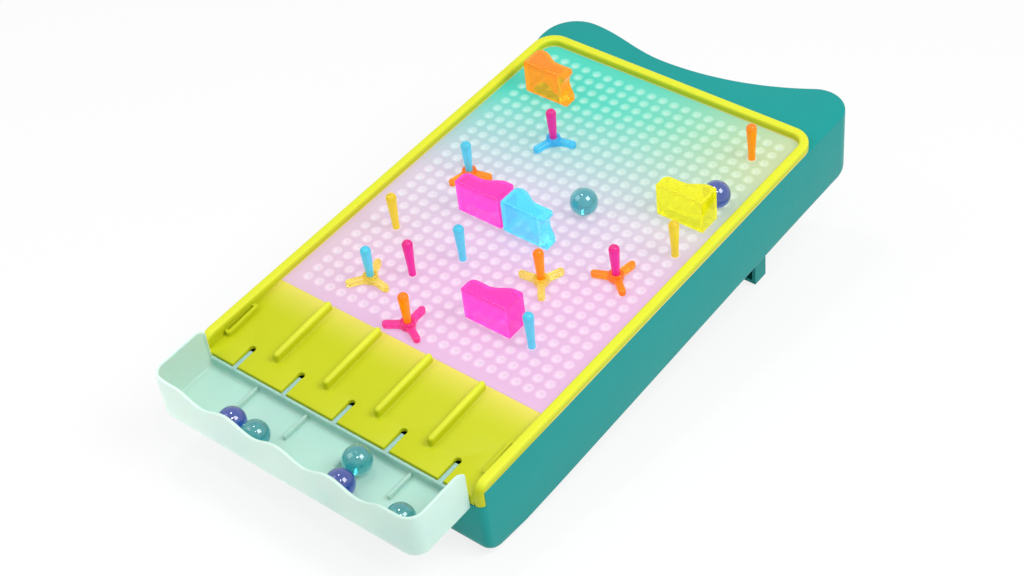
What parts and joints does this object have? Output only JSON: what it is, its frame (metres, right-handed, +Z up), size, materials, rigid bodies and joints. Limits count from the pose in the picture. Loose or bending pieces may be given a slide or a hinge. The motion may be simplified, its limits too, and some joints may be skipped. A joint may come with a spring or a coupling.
{
  "type": "light-up marble run",
  "caption": "Tilted, back-lit peg board with a ramp, a hook-on marble tray, plug-in pegs, spinners and blocks, glass marbles and a fold-out stand.",
  "frame": {"origin": "middle of the front foot's sole, on the table", "axes": "+Z up, +Y from the tray towards the raised back, +X to the right seen from the tray"},
  "size_m": [0.197, 0.3976, 0.1162],
  "materials": {
    "teal_plastic": "satin moulded plastic",
    "lime_plastic": "satin moulded plastic",
    "lit_panel": "translucent white, lit from behind",
    "frost_plastic": "frosted translucent plastic",
    "white_plastic": "matt",
    "circuit_board": "solder mask",
    "light_lens": "clear lens",
    "black_plastic": "matt",
    "steel": "plated",
    "brass": "plated",
    "wire_red": "insulated wire",
    "rubber": "matt",
    "clear_cyan": "tinted translucent plastic",
    "clear_magenta": "tinted translucent plastic",
    "clear_orange": "tinted translucent plastic",
    "clear_yellow": "tinted translucent plastic",
    "clear_pink": "tinted translucent plastic",
    "glass_navy": "polished glass",
    "glass_sea": "polished glass"
  },
  "bodies": {
    "board": {"base_shell": "teal_plastic", "bezel_ramp": "lime_plastic", "lane_ribs": "lime_plastic", "light_panel": "lit_panel", "diffuser_sheet": "white_plastic", "reflector": "white_plastic", "led_board": "circuit_board", "leds": "light_lens", "control_board": "circuit_board", "battery_box": "black_plastic", "batteries": "steel", "battery_contacts": "brass", "lead_wires": "wire_red", "switch_body": "black_plastic", "casing_screws": "steel", "front_foot": "rubber", "stand_pins": "steel"},
    "battery_door": {"battery_door": "teal_plastic", "door_screw": "steel"},
    "power_switch": {"power_switch": "black_plastic"},
    "stand": {"stand": "teal_plastic", "stand_pads": "rubber"},
    "marble_tray": {"marble_tray": "frost_plastic"},
    "peg_1": {"peg_1": "clear_magenta"},
    "peg_2": {"peg_2": "clear_cyan"},
    "peg_3": {"peg_3": "clear_yellow"},
    "peg_4": {"peg_4": "clear_cyan"},
    "peg_5": {"peg_5": "clear_magenta"},
    "peg_6": {"peg_6": "clear_cyan"},
    "peg_7": {"peg_7": "clear_orange"},
    "peg_8": {"peg_8": "clear_orange"},
    "peg_9": {"peg_9": "clear_magenta"},
    "peg_10": {"peg_10": "clear_cyan"},
    "peg_11": {"peg_11": "clear_yellow"},
    "peg_12": {"peg_12": "clear_orange"},
    "spinner_1": {"spinner_1": "clear_cyan"},
    "spinner_2": {"spinner_2": "clear_orange"},
    "spinner_6": {"spinner_6": "clear_yellow"},
    "spinner_7": {"spinner_7": "clear_pink"},
    "spinner_8": {"spinner_8": "clear_yellow"},
    "spinner_9": {"spinner_9": "clear_orange"},
    "block_1": {"block_1": "clear_pink"},
    "block_2": {"block_2": "clear_pink"},
    "block_3": {"block_3": "clear_yellow"},
    "block_4": {"block_4": "clear_cyan"},
    "block_5": {"block_5": "clear_orange"},
    "marble_1": {"marble_1": "glass_navy"},
    "marble_2": {"marble_2": "glass_sea"},
    "marble_3": {"marble_3": "glass_sea"},
    "marble_4": {"marble_4": "glass_navy"},
    "marble_5": {"marble_5": "glass_sea"},
    "marble_6": {"marble_6": "glass_navy"},
    "marble_7": {"marble_7": "glass_sea"}
  },
  "joints": [
    {"name": "stand_fold", "type": "hinge", "parent": "board", "child": "stand", "pos_m": [0, 0.25475, 0.04748], "axis": [1, 0, 0], "range_deg": [-90, 0]},
    {"name": "tray_lift", "type": "slide", "parent": "board", "child": "marble_tray", "axis": [0, -0.1513, 0.9885], "range_m": [0, 0.04]},
    {"name": "door_removal", "type": "slide", "parent": "board", "child": "battery_door", "axis": [0, 0.1513, -0.9885], "range_m": [0, 0.02]},
    {"name": "switch_slide", "type": "slide", "parent": "board", "child": "power_switch", "axis": [1, 0, 0], "range_m": [-0.004, 0]},
    {"name": "peg_1_lift", "type": "slide", "parent": "board", "child": "peg_1", "axis": [0, -0.1513, 0.9885], "range_m": [0, 0.035]},
    {"name": "peg_2_lift", "type": "slide", "parent": "board", "child": "peg_2", "axis": [0, -0.1513, 0.9885], "range_m": [0, 0.035]},
    {"name": "peg_3_lift", "type": "slide", "parent": "board", "child": "peg_3", "axis": [0, -0.1513, 0.9885], "range_m": [0, 0.035]},
    {"name": "peg_4_lift", "type": "slide", "parent": "board", "child": "peg_4", "axis": [0, -0.1513, 0.9885], "range_m": [0, 0.035]},
    {"name": "peg_5_lift", "type": "slide", "parent": "board", "child": "peg_5", "axis": [0, -0.1513, 0.9885], "range_m": [0, 0.035]},
    {"name": "peg_6_lift", "type": "slide", "parent": "board", "child": "peg_6", "axis": [0, -0.1513, 0.9885], "range_m": [0, 0.035]},
    {"name": "peg_7_lift", "type": "slide", "parent": "board", "child": "peg_7", "axis": [0, -0.1513, 0.9885], "range_m": [0, 0.035]},
    {"name": "peg_8_lift", "type": "slide", "parent": "board", "child": "peg_8", "axis": [0, -0.1513, 0.9885], "range_m": [0, 0.035]},
    {"name": "peg_9_lift", "type": "slide", "parent": "board", "child": "peg_9", "axis": [0, -0.1513, 0.9885], "range_m": [0, 0.035]},
    {"name": "peg_10_lift", "type": "slide", "parent": "board", "child": "peg_10", "axis": [0, -0.1513, 0.9885], "range_m": [0, 0.035]},
    {"name": "peg_11_lift", "type": "slide", "parent": "board", "child": "peg_11", "axis": [0, -0.1513, 0.9885], "range_m": [0, 0.035]},
    {"name": "peg_12_lift", "type": "slide", "parent": "board", "child": "peg_12", "axis": [0, -0.1513, 0.9885], "range_m": [0, 0.035]},
    {"name": "spinner_1_turn", "type": "hinge", "parent": "peg_1", "child": "spinner_1", "pos_m": [-0.032, 0.2028, 0.08617], "axis": [0, -0.1513, 0.9885], "continuous": true},
    {"name": "spinner_2_turn", "type": "hinge", "parent": "peg_2", "child": "spinner_2", "pos_m": [-0.056, 0.15535, 0.07891], "axis": [0, -0.1513, 0.9885], "continuous": true},
    {"name": "spinner_6_turn", "type": "hinge", "parent": "peg_6", "child": "spinner_6", "pos_m": [-0.048, 0.06046, 0.06439], "axis": [0, -0.1513, 0.9885], "continuous": true},
    {"name": "spinner_7_turn", "type": "hinge", "parent": "peg_7", "child": "spinner_7", "pos_m": [-0.008, 0.04464, 0.06196], "axis": [0, -0.1513, 0.9885], "continuous": true},
    {"name": "spinner_8_turn", "type": "hinge", "parent": "peg_8", "child": "spinner_8", "pos_m": [0.032, 0.1079, 0.07165], "axis": [0, -0.1513, 0.9885], "continuous": true},
    {"name": "spinner_9_turn", "type": "hinge", "parent": "peg_9", "child": "spinner_9", "pos_m": [0.064, 0.13163, 0.07528], "axis": [0, -0.1513, 0.9885], "continuous": true},
    {"name": "block_1_lift", "type": "slide", "parent": "board", "child": "block_1", "axis": [0, -0.1513, 0.9885], "range_m": [0, 0.035]},
    {"name": "block_2_lift", "type": "slide", "parent": "board", "child": "block_2", "axis": [0, -0.1513, 0.9885], "range_m": [0, 0.035]},
    {"name": "block_3_lift", "type": "slide", "parent": "board", "child": "block_3", "axis": [0, -0.1513, 0.9885], "range_m": [0, 0.035]},
    {"name": "block_4_lift", "type": "slide", "parent": "board", "child": "block_4", "axis": [0, -0.1513, 0.9885], "range_m": [0, 0.035]},
    {"name": "block_5_lift", "type": "slide", "parent": "board", "child": "block_5", "axis": [0, -0.1513, 0.9885], "range_m": [0, 0.035]},
    {"name": "marble_1_lift", "type": "slide", "parent": "marble_tray", "child": "marble_1", "axis": [0, -0.1513, 0.9885], "range_m": [0, 0.05]},
    {"name": "marble_2_lift", "type": "slide", "parent": "marble_tray", "child": "marble_2", "axis": [0, -0.1513, 0.9885], "range_m": [0, 0.05]},
    {"name": "marble_3_lift", "type": "slide", "parent": "marble_tray", "child": "marble_3", "axis": [0, -0.1513, 0.9885], "range_m": [0, 0.05]},
    {"name": "marble_4_lift", "type": "slide", "parent": "marble_tray", "child": "marble_4", "axis": [0, -0.1513, 0.9885], "range_m": [0, 0.05]},
    {"name": "marble_5_lift", "type": "slide", "parent": "marble_tray", "child": "marble_5", "axis": [0, -0.1513, 0.9885], "range_m": [0, 0.05]},
    {"name": "marble_6_lift", "type": "slide", "parent": "board", "child": "marble_6", "axis": [0, -0.1513, 0.9885], "range_m": [0, 0.05]},
    {"name": "marble_7_lift", "type": "slide", "parent": "board", "child": "marble_7", "axis": [0, -0.1513, 0.9885], "range_m": [0, 0.05]}
  ]
}
